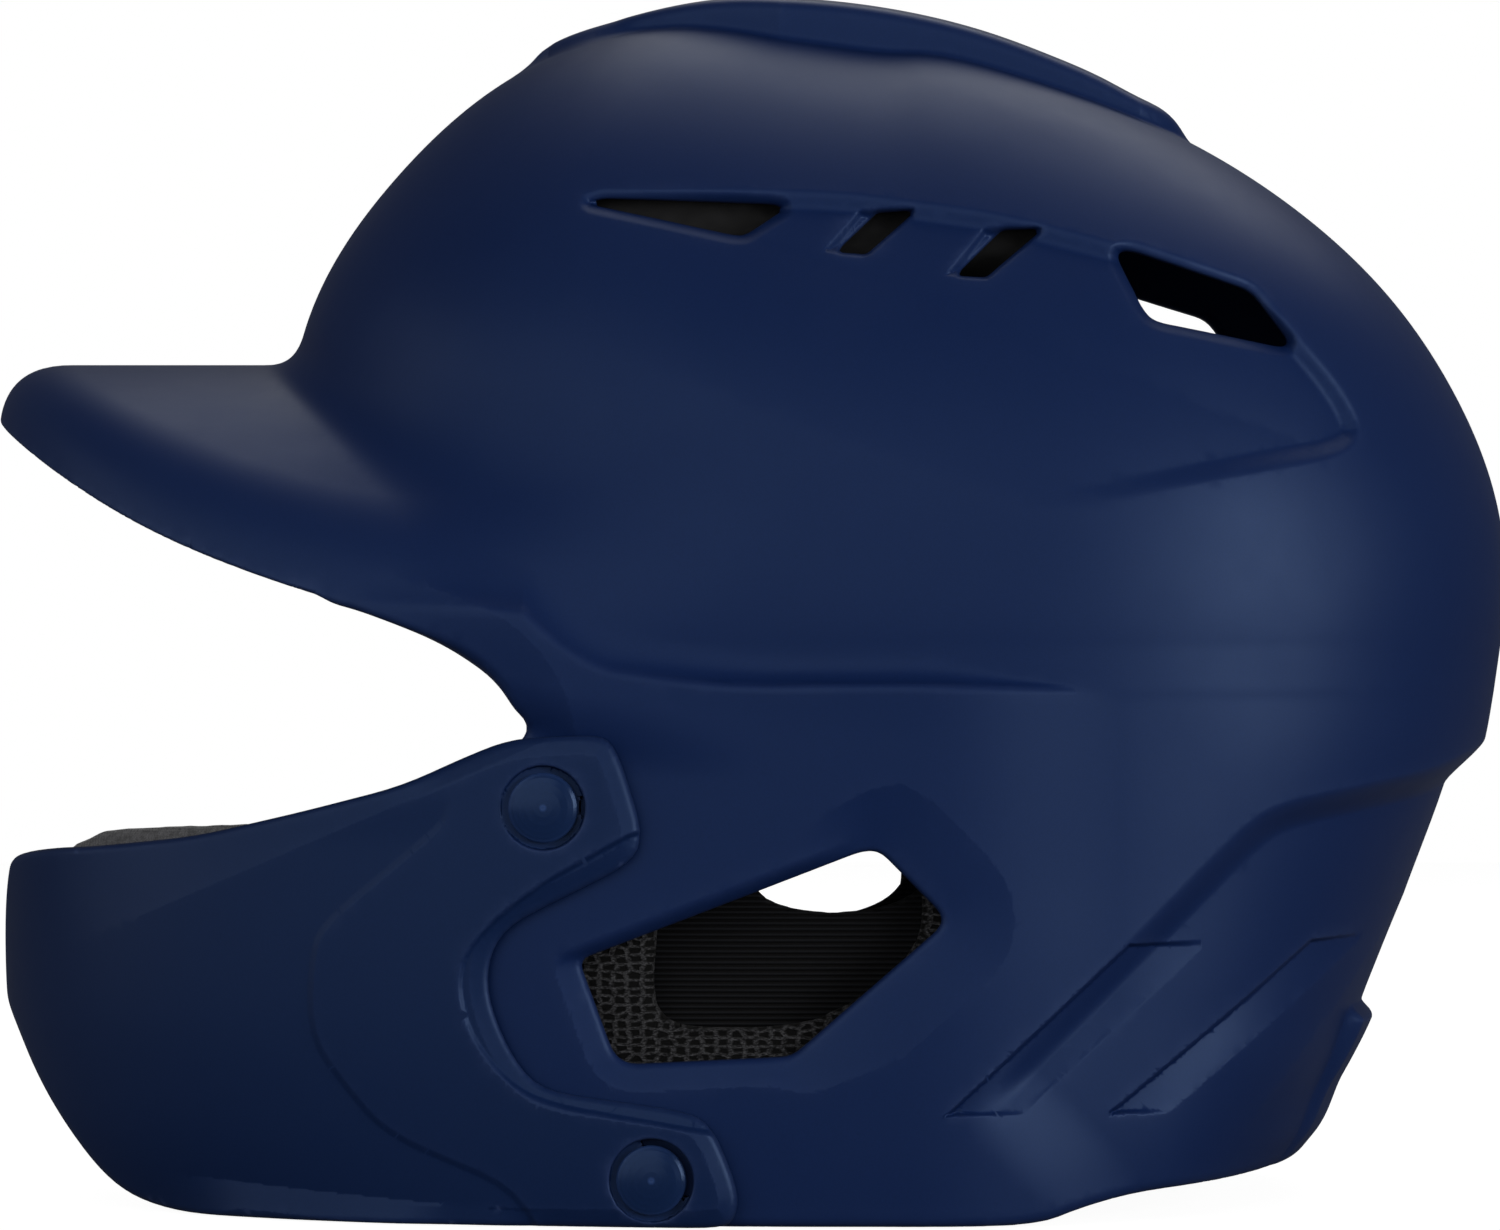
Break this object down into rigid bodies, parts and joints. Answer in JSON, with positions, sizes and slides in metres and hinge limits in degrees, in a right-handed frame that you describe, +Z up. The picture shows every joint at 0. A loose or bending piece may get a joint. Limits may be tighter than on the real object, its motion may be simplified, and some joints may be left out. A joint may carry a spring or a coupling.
{
  "type": "batting helmet",
  "caption": "Hard-shell batting helmet with brim, two ear flaps, vented crown, padded liner and a bolt-on jaw guard on the wearer's left.",
  "frame": {"origin": "centre of the head opening, in the plane of the ear flaps' lower edges that the helmet stands on", "axes": "-X is the front (brim), +Z is up, -Y is the wearer's left (jaw guard side)"},
  "size_m": [0.2976, 0.192, 0.2367],
  "materials": {
    "shell_plastic": "satin moulded navy",
    "guard_plastic": "satin moulded navy",
    "liner_foam": "dark moulded bead foam",
    "pad_fabric": "black knitted fabric",
    "pad_foam": "dark open foam",
    "mesh_fabric": "black spacer mesh",
    "hook_tape": "black hook tape",
    "guard_foam": "grey closed-cell foam",
    "post_plastic": "smooth navy",
    "screw_steel": "zinc-plated",
    "grommet_rubber": "matte black"
  },
  "bodies": {
    "helmet": {"shell": "shell_plastic", "crown_liner": "liner_foam", "front_liner": "liner_foam", "rear_liner": "liner_foam", "left_side_liner": "liner_foam", "right_side_liner": "liner_foam", "forehead_pad": "pad_fabric", "crown_pad": "pad_fabric", "rear_pad": "pad_fabric", "left_temple_pad": "pad_fabric", "right_temple_pad": "pad_fabric", "left_ear_pad": "pad_foam", "right_ear_pad": "pad_foam", "left_ear_cover": "mesh_fabric", "right_ear_cover": "mesh_fabric", "left_jaw_pad": "pad_fabric", "right_jaw_pad": "pad_fabric", "hook_patches": "hook_tape", "screw_washers": "screw_steel", "post_grommets": "grommet_rubber"},
    "guard": {"jaw_guard": "guard_plastic", "jaw_guard_foam": "guard_foam", "upper_post": "post_plastic", "lower_post": "post_plastic"},
    "upper_screw_body": {"upper_screw": "screw_steel"},
    "lower_screw_body": {"lower_screw": "screw_steel"}
  },
  "joints": [
    {"name": "guard_removal", "type": "slide", "parent": "helmet", "child": "guard", "axis": [0, -1, 0], "range_m": [0, 0.04]},
    {"name": "upper_screw_turn", "type": "hinge", "parent": "helmet", "child": "upper_screw_body", "pos_m": [-0.0644, -0.085, 0.0781], "axis": [0, -1, 0], "continuous": true},
    {"name": "lower_screw_turn", "type": "hinge", "parent": "helmet", "child": "lower_screw_body", "pos_m": [-0.0443, -0.085, 0.009], "axis": [0, -1, 0], "continuous": true}
  ]
}
